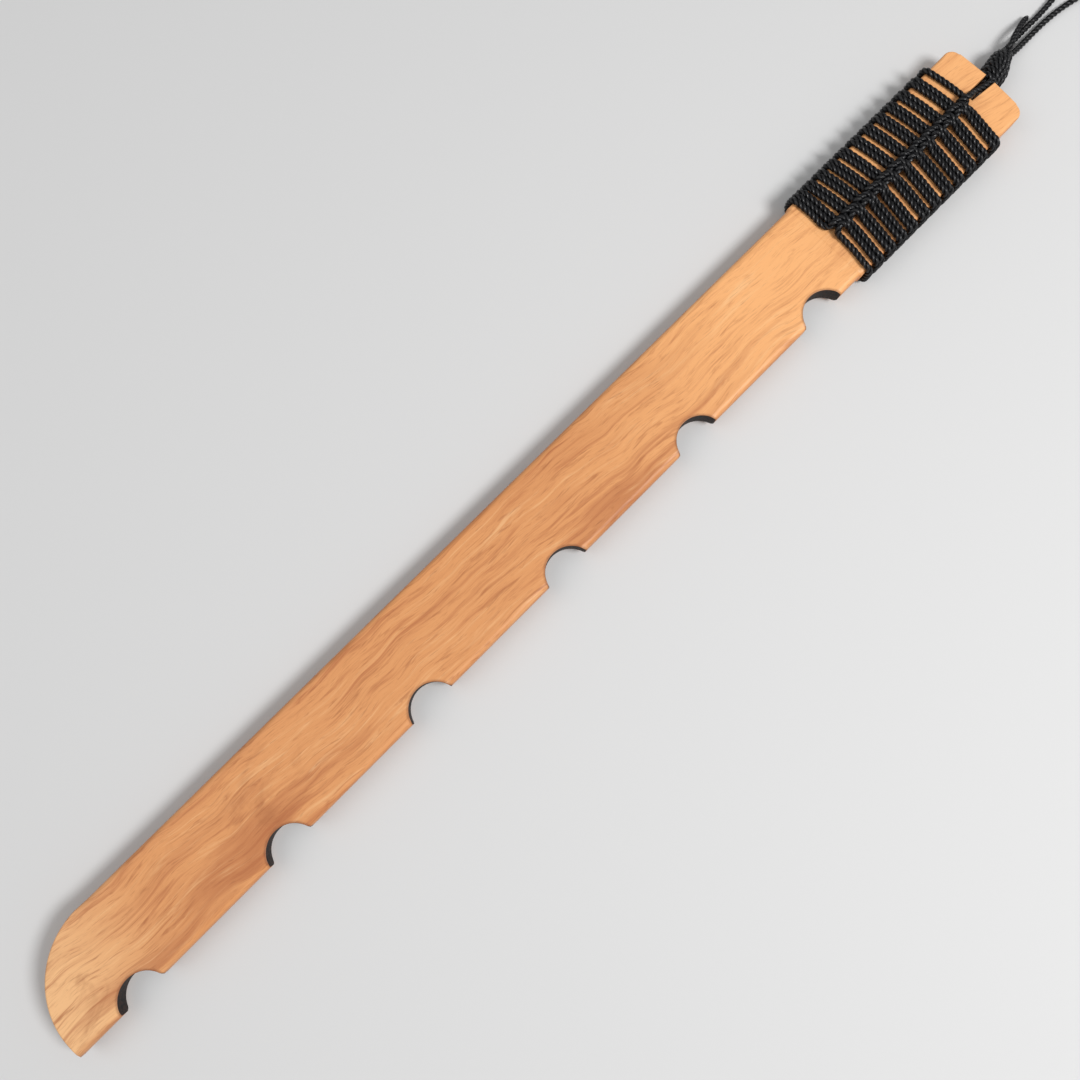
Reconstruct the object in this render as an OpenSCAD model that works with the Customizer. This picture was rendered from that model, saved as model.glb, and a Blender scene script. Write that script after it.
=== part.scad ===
// Wooden practice sword with a notched edge, a cord-hitched grip and a wrist loop.
// Frame: X runs from the tip to the butt, Y from the notched edge to the back, Z up through
// the thickness. The origin is under the middle of the sword, on the surface it lies on.

/* [Board] */
// Overall length of the board, tip to butt
board_len = 710; // [590:5:860]
// Width of the blade, notched edge to back
blade_w = 54; // [44:0.5:66]
// Thickness of the board
board_t = 12; // [10:0.5:16]
// Width of the board inside the grip and at the butt
handle_w = 55.5; // [44:0.5:66]
// How far each face of the handle is cut back from the blade's, as a bed for the cord
handle_relief = 0.2; // [0.1:0.05:0.6]
// Radius of the nose, in plan
nose_r = 46; // [30:0.5:52]
// Radius of the long edges of the blade
edge_r = 3.25; // [1:0.25:4.5]
// Radius of the long edges of the handle
handle_edge_r = 2.5; // [1.5:0.25:4]
// Radius of the butt's corners, in plan
butt_corner_r = 6; // [2:0.5:12]
// How far the end of the butt bulges, in plan
butt_crown = 1.5; // [0.5:0.1:3]

/* [Notches] */
// Number of notches along the edge
notch_count = 6; // [3:1:8]
// Distance from the tip to the first notch's centre
first_notch = 41.5; // [32:0.5:50]
// Distance from the last notch's centre to the grip's shoulder
last_notch = 29.4; // [22:0.2:40]
// Radius of each notch
notch_r = 14; // [9:0.5:17]
// Depth of each notch, measured from the straight edge
notch_depth = 11; // [7:0.5:13.5]

/* [Cord] */
// Diameter of the cord
cord_d = 3.5; // [2.8:0.1:4.2]
// Gap between two neighbouring double turns
band_gap = 2.7; // [2:0.1:5]
// Gap left between the cord and the wood
cord_gap = 0.1; // [0.05:0.05:0.3]
// Length of the grip, along the board
grip_len = 114; // [70:1:140]
// Bare length of the butt, past the grip
butt_len = 23; // [19:0.5:34]
// How far each turn bows towards the blade at the board's edges
band_bow = 2.4; // [0:0.1:4]

/* [Lanyard] */
// Width of the slot at the butt's end
slot_w = 6.5; // [6:0.25:9]
// How much narrower the slot is at its inner end
slot_taper = 1.8; // [0:0.1:2.2]
// Length of the slot
slot_len = 17.5; // [12:0.5:24]
// Length of the knot
knot_len = 25; // [18:0.5:30]
// Diameter of the knot at its fullest
knot_d = 15.5; // [11:0.5:19]

/* [Hidden] */
$fn = 96;
// Facets of the large circles
FINE = 180;
// Sides of the tube that stands for the cord
TUBE_SIDES = 8;

cord_r = cord_d / 2;
// Cord that is pressed between two others at the spine is flatter than free cord
spine_r = 0.76 * cord_r;
// Height of the cord's middle over the wood, on the wood and on top of another strand
lay_1 = cord_r + cord_gap;
lay_2 = lay_1 + 1.66 * cord_r;
pitch = 2 * cord_d + band_gap;
hitch_count = round((grip_len - 2 * cord_d) / pitch);

// The cord under the handle touches the surface, and the blade's faces stand out by the relief
wood_bottom = cord_d + cord_gap;
handle_t = board_t - 2 * handle_relief;
wood_top = wood_bottom + handle_t;
blade_bottom = wood_bottom - handle_relief;
tip_x = -board_len / 2;
butt_x = board_len / 2;
// The butt's side of the last double turn. The hitches are counted back from it.
grip_end = butt_x - butt_len;
first_hitch_x = grip_end - cord_d - cord_gap - hitch_count * pitch;

// The board ---------------------------------------------------------------------------------

// The shoulder where the blade narrows to the handle lies beside the first turn
shoulder_x = first_hitch_x - cord_d - band_bow + cord_gap;
// The notches are evenly spaced between the tip and the shoulder
notch_pitch = (shoulder_x - last_notch - tip_x - first_notch) / (notch_count - 1);
function notch_x(i) = tip_x + first_notch + i * notch_pitch;
// The slot widens towards the butt on its notched side only
slot_x = butt_x - slot_len;
slot_back_y = 0.4 * slot_w;

// Plan of the board without its notches: a rounded nose over a short straight tip, a straight
// blade, the handle
module plan() {
    intersection() {
        translate([tip_x + nose_r, blade_w / 2 - nose_r]) circle(r = nose_r, $fn = FINE);
        translate([tip_x, max(-blade_w / 2, blade_w / 2 - nose_r)])
            square([nose_r, min(nose_r, blade_w)]);
    }
    if (blade_w > nose_r)
        translate([tip_x, -blade_w / 2]) square([nose_r, blade_w - nose_r]);
    translate([tip_x + nose_r, -blade_w / 2])
        square([shoulder_x - tip_x - nose_r, blade_w]);
    butt_plan();
}

// The handle's end is crowned, and its two corners are rounded
module butt_plan() {
    crown_r = (pow(handle_w / 2, 2) + pow(butt_crown, 2)) / (2 * butt_crown);
    intersection() {
        union() {
            translate([shoulder_x - 0.01, -handle_w / 2])
                square([butt_x - butt_crown - butt_corner_r - shoulder_x + 0.01, handle_w]);
            translate([shoulder_x, -handle_w / 2 + butt_corner_r])
                square([butt_x - shoulder_x, handle_w - 2 * butt_corner_r]);
            for (side = [-1, 1])
                translate([butt_x - butt_crown - butt_corner_r, side * (handle_w / 2 - butt_corner_r)])
                    circle(r = butt_corner_r);
        }
        translate([butt_x - crown_r, 0]) circle(r = crown_r, $fn = 2 * FINE);
    }
}

// A bar with four round edges, along X from x0 to x1, w wide and t thick
module round_bar(x0, x1, w, t, r) {
    translate([x0, 0, blade_bottom + board_t / 2])
        rotate([90, 0, 90])
            linear_extrude(x1 - x0) {
                square([w - 2 * r, t], center = true);
                square([w, t - 2 * r], center = true);
                for (y = [-1, 1], z = [-1, 1])
                    translate([y * (w / 2 - r), z * (t / 2 - r)]) circle(r = r);
            }
}

module sword_body() {
    color([0.80, 0.55, 0.33])
        difference() {
            intersection() {
                translate([0, 0, blade_bottom]) linear_extrude(board_t) plan();
                union() {
                    round_bar(tip_x - 1, shoulder_x, blade_w, board_t, edge_r);
                    round_bar(shoulder_x - 1, butt_x + 1, handle_w, handle_t, handle_edge_r);
                }
            }
            for (i = [0 : notch_count - 1])
                translate([notch_x(i), -blade_w / 2 - notch_r + notch_depth, 0])
                    cylinder(r = notch_r, h = blade_bottom + board_t + 1);
            linear_extrude(wood_top + 1)
                polygon([
                    [slot_x, slot_back_y - slot_w + slot_taper],
                    [butt_x, slot_back_y - slot_w],
                    [butt_x + 1, slot_back_y - slot_w],
                    [butt_x + 1, slot_back_y],
                    [slot_x, slot_back_y]
                ]);
        }
}

// Sweeping a cord along a route ----------------------------------------------------------------

function unit(v) = v / norm(v);
function tangent(p, i) = unit(p[min(i + 1, len(p) - 1)] - p[max(i - 1, 0)]);
function square_to(n, t) = unit(n - (n * t) * t);

// One side direction for each point, carried along the route so that the tube doesn't twist
function sides(p, first) = [
    for (i = 0, n = square_to(first, tangent(p, 0)); i < len(p);
         i = i + 1, n = i < len(p) ? square_to(n, tangent(p, i)) : n) n
];

// A point of the route is [x, y, z, radius]
function place(q) = [q[0], q[1], q[2]];

module sweep(route, first, count = TUBE_SIDES) {
    p = [for (q = route) place(q)];
    n = sides(p, first);
    rings = [
        for (i = [0 : len(p) - 1])
            let (t = tangent(p, i), m = cross(t, n[i]), r = route[i][3])
            for (k = [0 : count - 1])
                let (a = 360 * (k + 0.5) / count)
                p[i] + r * cos(a) * n[i] + r * sin(a) * m
    ];
    last = (len(p) - 1) * count;
    faces = concat(
        [[for (k = [count - 1 : -1 : 0]) k]],
        [for (i = [0 : len(p) - 2], k = [0 : count - 1])
            let (a = i * count + k, b = i * count + (k + 1) % count)
            [a, b, b + count, a + count]],
        [[for (k = [0 : count - 1]) last + k]]
    );
    polyhedron(points = rings, faces = [for (f = faces) [for (j = [len(f) - 1 : -1 : 0]) f[j]]]);
}

// A smooth curve through points, with n steps between each two
function curve_at(a, b, c, d, t) =
    0.5 * ((2 * b) + (c - a) * t + (2 * a - 5 * b + 4 * c - d) * t * t
           + (3 * b - a - 3 * c + d) * t * t * t);
function smooth(p, n) = concat(
    [for (i = [0 : len(p) - 2], j = [0 : n - 1])
        curve_at(p[max(i - 1, 0)], p[i], p[i + 1], p[min(i + 2, len(p) - 1)], j / n)],
    [p[len(p) - 1]]
);

// The grip ----------------------------------------------------------------------------------
// Both halves of one cord start from its middle, under the first turn, and run together. Each
// hitch goes down over the notched edge, under the board, up over the back, and then below
// its own spine stretch, to come out on the butt's side of it as the next spine stretch.

// The spine runs slightly aslant along the middle of the board
spine_slope = -0.015;
function spine_y(x) = 1.3 + spine_slope * (x - first_hitch_x);
// The cord goes round each long edge on this radius, about the centre of the edge's own round
turn_r = handle_edge_r + lay_1;
turn_y = handle_w / 2 - handle_edge_r;
turn_top = wood_top - handle_edge_r;
turn_bottom = wood_bottom + handle_edge_r;

function reverse(p) = [for (i = [len(p) - 1 : -1 : 0]) p[i]];
function part_of(p, from, to) = [for (i = [from : to]) p[i]];
// Half the distance between the two cords of a double turn
pair_offset = 0.515 * cord_d;
// Where each turn has its middle point, between the spine and the edge
flank_y = 0.6 * turn_y;
function bow(y) = -band_bow * pow(min(1, abs(y) / turn_y), 2);

// Points round one long edge: side -1 is the notched edge, 1 the back. The cord goes down the
// notched edge and up the back; reverse() turns a stretch round.
EDGE_ANGLES = [90, 55, 20, 0, 0, -20, -55, -90];
// The chords between the slanted points would cut the round, so those points stand out a little
EDGE_SHARE = [1, 1.045, 1.03, 1, 1, 1.03, 1.045, 1];
function edge_points(x, side) = [
    for (i = [0 : 7])
        let (up = side > 0, a = EDGE_ANGLES[i] * (up ? -1 : 1),
             r = turn_r * EDGE_SHARE[i], z = (i < 4) == up ? turn_bottom : turn_top)
        [x, side * (turn_y + r * cos(a)), z + r * sin(a), cord_r]
];

// The hitch of strand s (1 is nearer the butt, -1 nearer the blade), from the bend of its spine
// stretch to its rise over the next double turn
function across(f) = f * pitch;
function over(f) = f * cord_d;

function down_turn(x, s) = let (sx = x + s * pair_offset, y0 = spine_y(x)) concat(
    [[sx - s * over(0.06), y0 - over(1.65), wood_top + lay_1 + over(0.16), cord_r * 0.95],
     [sx, y0 - over(2.5), wood_top + lay_1, cord_r],
     [sx + bow(flank_y), -flank_y, wood_top + lay_1, cord_r]],
    edge_points(sx + bow(turn_y), -1)
);
function up_turn(x, s) = let (sx = x - pitch / 2 + s * pair_offset, y0 = spine_y(x)) concat(
    edge_points(sx + bow(turn_y), 1),
    [[sx + bow(flank_y), flank_y, wood_top + lay_1, cord_r],
     [sx, y0 + over(1.6), wood_top + lay_1, cord_r]]
);

// The way of each strand through the spine: below the last stretch, up, and over to the next bend
function spine_pass(x, s) = let (y0 = spine_y(x)) [
    for (q = s > 0
        ? [[-0.29, 0.85, 0], [-0.19, 0.62, 0], [-0.05, 0.58, 0], [0.08, 0.66, 0.42],
           [0.23, 0.66, 1], [0.47, 0.50, 1], [0.71, 0.36, 1], [0.90, 0.24, 1],
           [1.02, -0.22, 1], [1.06, -0.85, 0.92]]
        : [[-0.67, 0.66, 0], [-0.61, 0.18, 0], [-0.45, -0.22, 0], [-0.15, -0.48, 0],
           [0.15, -0.54, 0], [0.28, -0.56, 0.55], [0.41, -0.48, 1], [0.60, -0.42, 1],
           [0.735, -0.62, 1], [0.79, -1.05, 0.85]])
        [x + across(q[0]), y0 + over(q[1]), wood_top + lay_1 + (lay_2 - lay_1) * q[2], spine_r]
];

function hitches(s) = [
    for (i = [1 : hitch_count])
        let (x = first_hitch_x + i * pitch)
        each concat(down_turn(x, s), up_turn(x, s), i < hitch_count ? spine_pass(x, s) : [])
];

// The first turn is single: its middle is under the board, where the two strands meet
start_x = first_hitch_x + 0.2 * pitch;
middle_x = start_x - 0.36 * pitch;
under_z = wood_bottom - lay_1;
function start_a() = let (x = start_x - 0.25 * pitch, y0 = spine_y(x)) concat(
    [[middle_x, 3 * cord_gap, under_z, cord_r]],
    edge_points(x - band_bow, 1),
    [[x + bow(flank_y), flank_y, wood_top + lay_1, cord_r],
     [x, y0 + over(1.6), wood_top + lay_1, cord_r]],
    part_of(spine_pass(first_hitch_x, 1), 3, 9)
);
function start_b() = let (x = start_x, y0 = spine_y(x)) concat(
    [[middle_x, -3 * cord_gap, under_z, cord_r]],
    reverse(edge_points(x - band_bow, -1)),
    [[x + bow(flank_y), -flank_y, wood_top + lay_1, cord_r],
     [x - 0.3, y0 - over(2.2), wood_top + lay_1, cord_r],
     [x - 0.4, y0 - over(1), wood_top + lay_1 + over(0.25), spine_r]],
    part_of(spine_pass(first_hitch_x, -1), 6, 9)
);

// After the last hitch strand a goes over strand b and down into the slot. Strand b goes below
// it, once more over the back, and comes up into the slot from below.
last_x = first_hitch_x + hitch_count * pitch;
last_turn_x = last_x + 1.55 * cord_d;
slot_a_y = slot_back_y - slot_w + cord_r + 1.5 * cord_gap;
slot_b_y = slot_back_y - cord_r - 1.5 * cord_gap;
slot_a_z = wood_top - over(0.55);
// Strand b lies beside strand a and as much lower as it needs
slot_drop = sqrt(max(0.04, pow(cord_d + 2 * cord_gap, 2) - pow(slot_b_y - slot_a_y, 2)));
slot_b_z = slot_a_z - slot_drop;
function end_a() = let (y0 = spine_y(last_x)) concat(
    part_of(spine_pass(last_x, 1), 0, 3),
    [[last_x + 0.27 * pitch, y0 + over(0.5), wood_top + lay_2, spine_r],
     [last_turn_x, 0.3, wood_top + lay_2 + cord_gap, spine_r],
     [last_turn_x + cord_d * 0.8, 0, wood_top + lay_1 + over(0.55), spine_r],
     [slot_x + cord_r + cord_gap, 0.15 * slot_a_y, wood_top + over(0.3), spine_r],
     [slot_x + cord_d * 1.2, 0.2 * slot_a_y, wood_top + over(0.02), cord_r],
     [slot_x + cord_d * 2.3, 0.45 * slot_a_y, slot_a_z + over(0.3), cord_r],
     [butt_x - cord_d, 0.85 * slot_a_y, slot_a_z + over(0.05), cord_r],
     [butt_x - cord_gap, slot_a_y, slot_a_z, cord_r]]
);
function end_b() = let (y0 = spine_y(last_x)) concat(
    part_of(spine_pass(last_x, -1), 0, 3),
    [[last_x + 0.2 * pitch, y0 - over(0.43), wood_top + lay_1, spine_r],
     [last_turn_x - over(0.5), y0 - over(0.2), wood_top + lay_1, spine_r],
     [last_turn_x, y0 + over(0.5), wood_top + lay_1, spine_r],
     [last_turn_x, y0 + over(1.8), wood_top + lay_1, cord_r],
     [last_turn_x + bow(flank_y), flank_y, wood_top + lay_1, cord_r]],
    reverse(edge_points(last_turn_x - band_bow, 1)),
    [[last_turn_x + 0.2 * slot_len, turn_y * 0.5, under_z, cord_r],
     [slot_x + cord_d, slot_b_y + over(0.3), under_z, cord_r],
     [slot_x + cord_d * 2, slot_b_y, under_z + over(0.35), cord_r],
     [slot_x + cord_d * 2.9, slot_b_y, slot_b_z - over(0.8), cord_r],
     [butt_x - cord_d, slot_b_y, slot_b_z - over(0.1), cord_r],
     [butt_x - cord_gap, slot_b_y, slot_b_z, cord_r]]
);

module grip_strand_a() {
    color([0.07, 0.07, 0.08]) sweep(concat(start_a(), hitches(1), end_a()), [1, 0, 0]);
}

module grip_strand_b() {
    color([0.07, 0.07, 0.08]) sweep(concat(start_b(), hitches(-1), end_b()), [1, 0, 0]);
}

// The lanyard -------------------------------------------------------------------------------

knot_x = butt_x + cord_gap;
knot_end = knot_x + knot_len;
// The knot starts below the strands' ends and drifts towards the back
knot_y = 0.6;
knot_drift = 3;
// Share of the knot's length at which it is fullest, and its radius at both ends as a share of
// the fullest
KNOT_FULL = 0.47;
KNOT_START = 0.85;
KNOT_TIP = 0.48;
function knot_share(t) = t < KNOT_FULL
    ? KNOT_START + (1 - KNOT_START) * sin(90 * t / KNOT_FULL)
    : KNOT_TIP + (1 - KNOT_TIP) * (1 + cos(180 * (t - KNOT_FULL) / (1 - KNOT_FULL))) / 2;
function knot_point(t) = [
    knot_x + knot_len * t, knot_y + knot_drift * pow(0.5 - 0.5 * cos(180 * t), 2),
    knot_d / 2, knot_d / 2 * knot_share(t)
];
// Steps of the knot's outline along its length, and its sides. The odd count puts one corner
// at the very bottom, where the knot rests.
KNOT_STEPS = 19;
KNOT_SIDES = 25;

module lanyard_knot() {
    color([0.06, 0.06, 0.07])
        sweep([for (i = [0 : KNOT_STEPS]) knot_point(i / KNOT_STEPS)], [0, 0, 1], KNOT_SIDES);
}

// A cord's route from the knot: x in millimetres from the knot's end, y and z in cord radii
function from_knot(points) = [for (q = points) [knot_end + q[0], q[1] * cord_r, q[2] * cord_r, cord_r]];

// The cut end of the cord, which lies over one leg of the loop
tail_route = [
    [0.8, 2.6, 5.83], [4, 3.2, 5.6], [8, 4.1, 4.97], [13, 4.86, 4.29],
    [18, 5.43, 3.43], [23, 6, 2.17], [26, 6.23, 1.49], [28.5, 6.29, 1.26]
];

module lanyard_tail() {
    color([0.07, 0.07, 0.08]) sweep(smooth(from_knot(tail_route), 2), [0, 0, 1]);
}

// The wrist loop, from the knot down to the surface, round, and back to the knot
loop_route = [
    [0.9, 3.26, 3.77], [7, 3.6, 2.29], [15, 3.89, 1.26], [25, 4, 1], [38, 4.06, 1],
    [54, 4.91, 1], [70, 7.09, 1], [87, 10.29, 1], [104, 12.91, 1], [120, 13.94, 1],
    [134, 12, 1], [143.5, 6.86, 1], [146, 0.86, 1], [141, -4.91, 1], [129, -8.57, 1],
    [113, -9.03, 1], [96, -6.86, 1], [79, -4, 1], [62, -1.3, 1], [47, 0.4, 1],
    [33, 1.05, 1], [20, 1.05, 1.14], [9, 0.9, 2.17], [0.7, 0.9, 3.77]
];

module wrist_loop() {
    color([0.07, 0.07, 0.08]) sweep(smooth(from_knot(loop_route), 2), [0, 0, 1]);
}

sword_body();
grip_strand_a();
grip_strand_b();
lanyard_knot();
lanyard_tail();
wrist_loop();
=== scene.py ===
"""Looks of the wooden practice sword: a bevelled board with charred notches, and a grip and wrist
loop of black twisted cord. Lengths are in millimetres until they meet Blender, then in metres."""

import math

import bmesh
import bpy
import numpy as np
from mathutils import Euler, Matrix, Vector


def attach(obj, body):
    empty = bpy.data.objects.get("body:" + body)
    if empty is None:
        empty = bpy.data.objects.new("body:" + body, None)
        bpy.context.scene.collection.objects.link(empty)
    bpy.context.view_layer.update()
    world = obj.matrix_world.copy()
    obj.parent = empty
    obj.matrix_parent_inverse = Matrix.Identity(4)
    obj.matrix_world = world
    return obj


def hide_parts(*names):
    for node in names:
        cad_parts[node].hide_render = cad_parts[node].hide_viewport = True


MM = 0.001

# ---------------------------------------------------------------- sizes, as in the CAD part
BOARD_LEN = 710.0
BLADE_W = 54.0
NOSE_R = 46.0
BOARD_T = 12.0
HANDLE_W = 55.5
HANDLE_RELIEF = 0.2  # how much lower than the blade's each face of the handle is
BUTT_CORNER_R = 6.0
BUTT_CROWN = 1.5  # how far the butt's end stands out in its middle
NOTCH_COUNT = 6
NOTCH_PITCH = 100.0
FIRST_NOTCH = 41.5  # from the tip to the middle of the first notch
NOTCH_R = 14.0
NOTCH_DEPTH = 11.0
SLOT_W = 6.5  # at the butt's end
SLOT_TAPER = 1.8  # how much narrower the slot is at its inner end
SLOT_BACK_SHARE = 0.4  # share of the slot's width on the back's side of the middle
SLOT_LEN = 17.5

# radius between a face and each kind of side
BLADE_EDGE_R = 3.25
HANDLE_EDGE_R = 2.5
NOTCH_EDGE_R = 0.45
END_EDGE_R = 1.1
SLOT_EDGE_R = 0.7

CORD_D = 3.5
CORD_GAP = 0.1  # clearance between a cord and what it touches
BAND_GAP = 2.7  # between one double turn and the next
BAND_BOW = 2.4  # how far a turn bows towards the tip at the board's edges
GRIP_LEN = 114.0
BUTT_LEN = 23.0  # bare wood behind the grip
LAYER_RISE = 1.66  # height of the spine's upper layer over the lower one, in cord radii
KNOT_LEN = 25.0
KNOT_D = 15.5
KNOT_Y = 0.6  # the knot's middle at the butt
KNOT_DRIFT = 3.0  # how far the knot's middle moves to the back's side along its length

CORD_R = CORD_D / 2
PITCH = 2 * CORD_D + BAND_GAP
HITCHES = round((GRIP_LEN - 2 * CORD_D) / PITCH)
WOOD_BOTTOM = CORD_D + CORD_GAP
HANDLE_T = BOARD_T - 2 * HANDLE_RELIEF
WOOD_TOP = WOOD_BOTTOM + HANDLE_T
BLADE_BOTTOM = WOOD_BOTTOM - HANDLE_RELIEF
BLADE_TOP = BLADE_BOTTOM + BOARD_T
TIP_X = -BOARD_LEN / 2
BUTT_X = BOARD_LEN / 2
FIRST_HITCH_X = BUTT_X - BUTT_LEN - CORD_D - CORD_GAP - HITCHES * PITCH
SHOULDER_X = FIRST_HITCH_X - CORD_D - BAND_BOW + CORD_GAP
NOTCH_Y = -BLADE_W / 2 - NOTCH_R + NOTCH_DEPTH
SLOT_X = BUTT_X - SLOT_LEN
SLOT_BACK_Y = SLOT_BACK_SHARE * SLOT_W
SLOT_FRONT_Y = SLOT_BACK_Y - SLOT_W
KNOT_X = BUTT_X + CORD_GAP
KNOT_END = KNOT_X + KNOT_LEN

# height of a cord's middle under the board and in the two layers on top of it
CORD_RISE = CORD_R + CORD_GAP
UNDER_Z = WOOD_BOTTOM - CORD_RISE
LOWER_Z = WOOD_TOP + CORD_RISE
UPPER_Z = LOWER_Z + LAYER_RISE * CORD_R

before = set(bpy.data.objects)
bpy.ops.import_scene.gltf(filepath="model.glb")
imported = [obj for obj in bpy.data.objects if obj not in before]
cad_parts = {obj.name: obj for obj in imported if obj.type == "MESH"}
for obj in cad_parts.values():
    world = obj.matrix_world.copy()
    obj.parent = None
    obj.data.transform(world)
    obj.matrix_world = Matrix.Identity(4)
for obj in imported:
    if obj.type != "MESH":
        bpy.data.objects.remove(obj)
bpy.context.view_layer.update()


# ---------------------------------------------------------------- mesh helpers
def add_mesh(name, points, faces):
    """A smooth-shaded object from points in millimetres."""
    mesh = bpy.data.meshes.new(name)
    mesh.from_pydata([tuple(MM * c for c in p) for p in points], [], faces)
    mesh.validate()
    mesh.polygons.foreach_set("use_smooth", [True] * len(mesh.polygons))
    obj = bpy.data.objects.new(name, mesh)
    bpy.context.scene.collection.objects.link(obj)
    return obj


def through(points, step):
    """A smooth line through the points, resampled at about the given step."""
    p = [Vector(q) for q in points]
    p = [p[0] * 2 - p[1]] + p + [p[-1] * 2 - p[-2]]
    line = []
    for a, b, c, d in zip(p, p[1:], p[2:], p[3:]):
        # centripetal knots, so that close points make no overshoot
        t1 = (b - a).length ** 0.5
        t2 = t1 + (c - b).length ** 0.5
        t3 = t2 + (d - c).length ** 0.5
        count = max(2, int((c - b).length / step * 2))
        for i in range(count):
            t = t1 + (t2 - t1) * i / count
            a1 = a * ((t1 - t) / t1) + b * (t / t1)
            a2 = b * ((t2 - t) / (t2 - t1)) + c * ((t - t1) / (t2 - t1))
            a3 = c * ((t3 - t) / (t3 - t2)) + d * ((t - t2) / (t3 - t2))
            b1 = a1 * ((t2 - t) / t2) + a2 * (t / t2)
            b2 = a2 * ((t3 - t) / (t3 - t1)) + a3 * ((t - t1) / (t3 - t1))
            line.append(b1 * ((t2 - t) / (t2 - t1)) + b2 * ((t - t1) / (t2 - t1)))
    line.append(p[-2])
    return even(line, step)


def even(line, step):
    """The same line with points at equal distances."""
    p = np.array(line)
    run = np.concatenate([[0], np.cumsum(np.linalg.norm(np.diff(p, axis=0), axis=1))])
    at = np.linspace(0, run[-1], max(2, int(round(run[-1] / step)) + 1))
    return np.stack([np.interp(at, run, p[:, k]) for k in range(3)], axis=1)


# ---------------------------------------------------------------- twisted cord
PLIES = 3
PLY_LAY = 9.5  # length of cord in which a ply goes round once
PLY_POINTS = 8  # round each ply's crown
GROOVE = 0.34  # depth of the groove between two plies, as a share of the radius
CROWN_POWER = 0.8  # under 1, a ply's crown is broad and its groove is narrow
PRESSED = 1.1  # a cord that is pulled tight spreads sideways, so it looks this much thicker
CORD_STEP = 0.8  # between two rings
CAP_SHARES = (0.75, 0.4)  # size of each ring of a rounded end
CAP_LENGTH = 0.7  # of a rounded end, in radii
ASIDE = (0.31, 0.42, 0.85)  # a direction that no cord here starts along


def ply_radius(angle):
    return 1 - GROOVE + GROOVE * abs(math.cos(PLIES * angle / 2)) ** CROWN_POWER


def twisted_cord(name, line, radius=CORD_R):
    """A cord of three plies along a line of points, with a rounded cap at each end."""
    count = PLIES * PLY_POINTS
    tangents = np.gradient(line, axis=0)
    tangents /= np.linalg.norm(tangents, axis=1)[:, None]
    side = np.cross(tangents[0], ASIDE)
    run = 0.0
    runs = []
    points = []
    for i, (middle, tangent) in enumerate(zip(line, tangents)):
        side = side - tangent * np.dot(side, tangent)
        side /= np.linalg.norm(side)
        other = np.cross(tangent, side)
        run += float(np.linalg.norm(middle - line[i - 1])) if i else 0.0
        runs.append(run)
        turn = 2 * math.pi * run / PLY_LAY
        for k in range(count):
            a = 2 * math.pi * k / count
            r = radius * ply_radius(a)
            points.append(middle + r * (math.cos(a + turn) * side + math.sin(a + turn) * other))
    faces = []
    for i in range(len(line) - 1):
        for k in range(count):
            a = i * count + k
            b = i * count + (k + 1) % count
            faces.append((a, b, b + count, a + count))
    for start, way in ((0, -1), (len(line) - 1, 1)):
        outer = list(range(start * count, (start + 1) * count))
        previous = outer
        for share in CAP_SHARES:
            lift = math.sqrt(1 - share * share) * radius * CAP_LENGTH * way
            ring = list(range(len(points), len(points) + count))
            for v in outer:
                points.append(line[start] + (points[v] - line[start]) * share + tangents[start] * lift)
            for k in range(count):
                face = (previous[k], previous[(k + 1) % count], ring[(k + 1) % count], ring[k])
                faces.append(face if way > 0 else face[::-1])
            previous = ring
        faces.append(tuple(previous) if way > 0 else tuple(previous[::-1]))
    obj = add_mesh(name, points, faces)
    caps = len(CAP_SHARES)
    lay_uv(obj, runs + caps * runs[:1] + caps * runs[-1:], count)
    return obj


def lay_uv(obj, runs, count):
    """U goes round the cord with the plies, V along it in metres. runs has each ring's length along it."""
    mesh = obj.data
    layer = mesh.uv_layers.new(name="cord")
    for polygon in mesh.polygons:
        columns = [v % count for v in polygon.vertices]
        wraps = max(columns) - min(columns) > count / 2
        for loop, v, column in zip(polygon.loop_indices, polygon.vertices, columns):
            if wraps and column == 0:
                column = count
            layer.data[loop].uv = (column / count, runs[v // count] * MM)


# ---------------------------------------------------------------- routes of the grip's two strands
# In these functions strand is 1 for strand a, on the butt's side of a double turn, and -1 for strand b.
EDGE_ANGLES = [90, 72, 55, 37, 20, 0, 0, -20, -37, -55, -72, -90]
TURN_R = HANDLE_EDGE_R + CORD_RISE
TURN_Y = HANDLE_W / 2 - HANDLE_EDGE_R  # where a turn begins to bend round an edge
TURN_TOP = WOOD_TOP - HANDLE_EDGE_R
TURN_BOTTOM = WOOD_BOTTOM + HANDLE_EDGE_R
HIP_Y = 0.6 * TURN_Y  # a turn's point between the spine and the edge
STRAND_X = 0.515 * CORD_D  # from the middle of a double turn to each strand
# How far each double turn sits from its even place, over the notched half and the back half
FRONT_SHIFT = [0.1, 0.2, -0.4, -1.3, -0.8, -1.1, -0.6, -1.2, -0.6, -0.7, 0.2]
BACK_SHIFT = [0.5, 0.2, -0.4, -1.3, -1.5, -0.9, -0.7, -0.8, -1.1, -1.0, 0.3]
FIRST_FLARE = 1.6  # how far the first turns are pushed towards the butt at the back edge
SPINE_Y = 1.3  # the middle of the spine at its first hitch
SPINE_SLOPE = 0.015


def spine_y(x):
    """The middle of the spine, which nears the notched edge towards the butt."""
    return SPINE_Y - SPINE_SLOPE * (x - FIRST_HITCH_X)


def bow(y):
    """How far a turn is pulled towards the tip at y, as a negative length."""
    return -BAND_BOW * min(1.0, abs(y) / TURN_Y) ** 2


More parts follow.
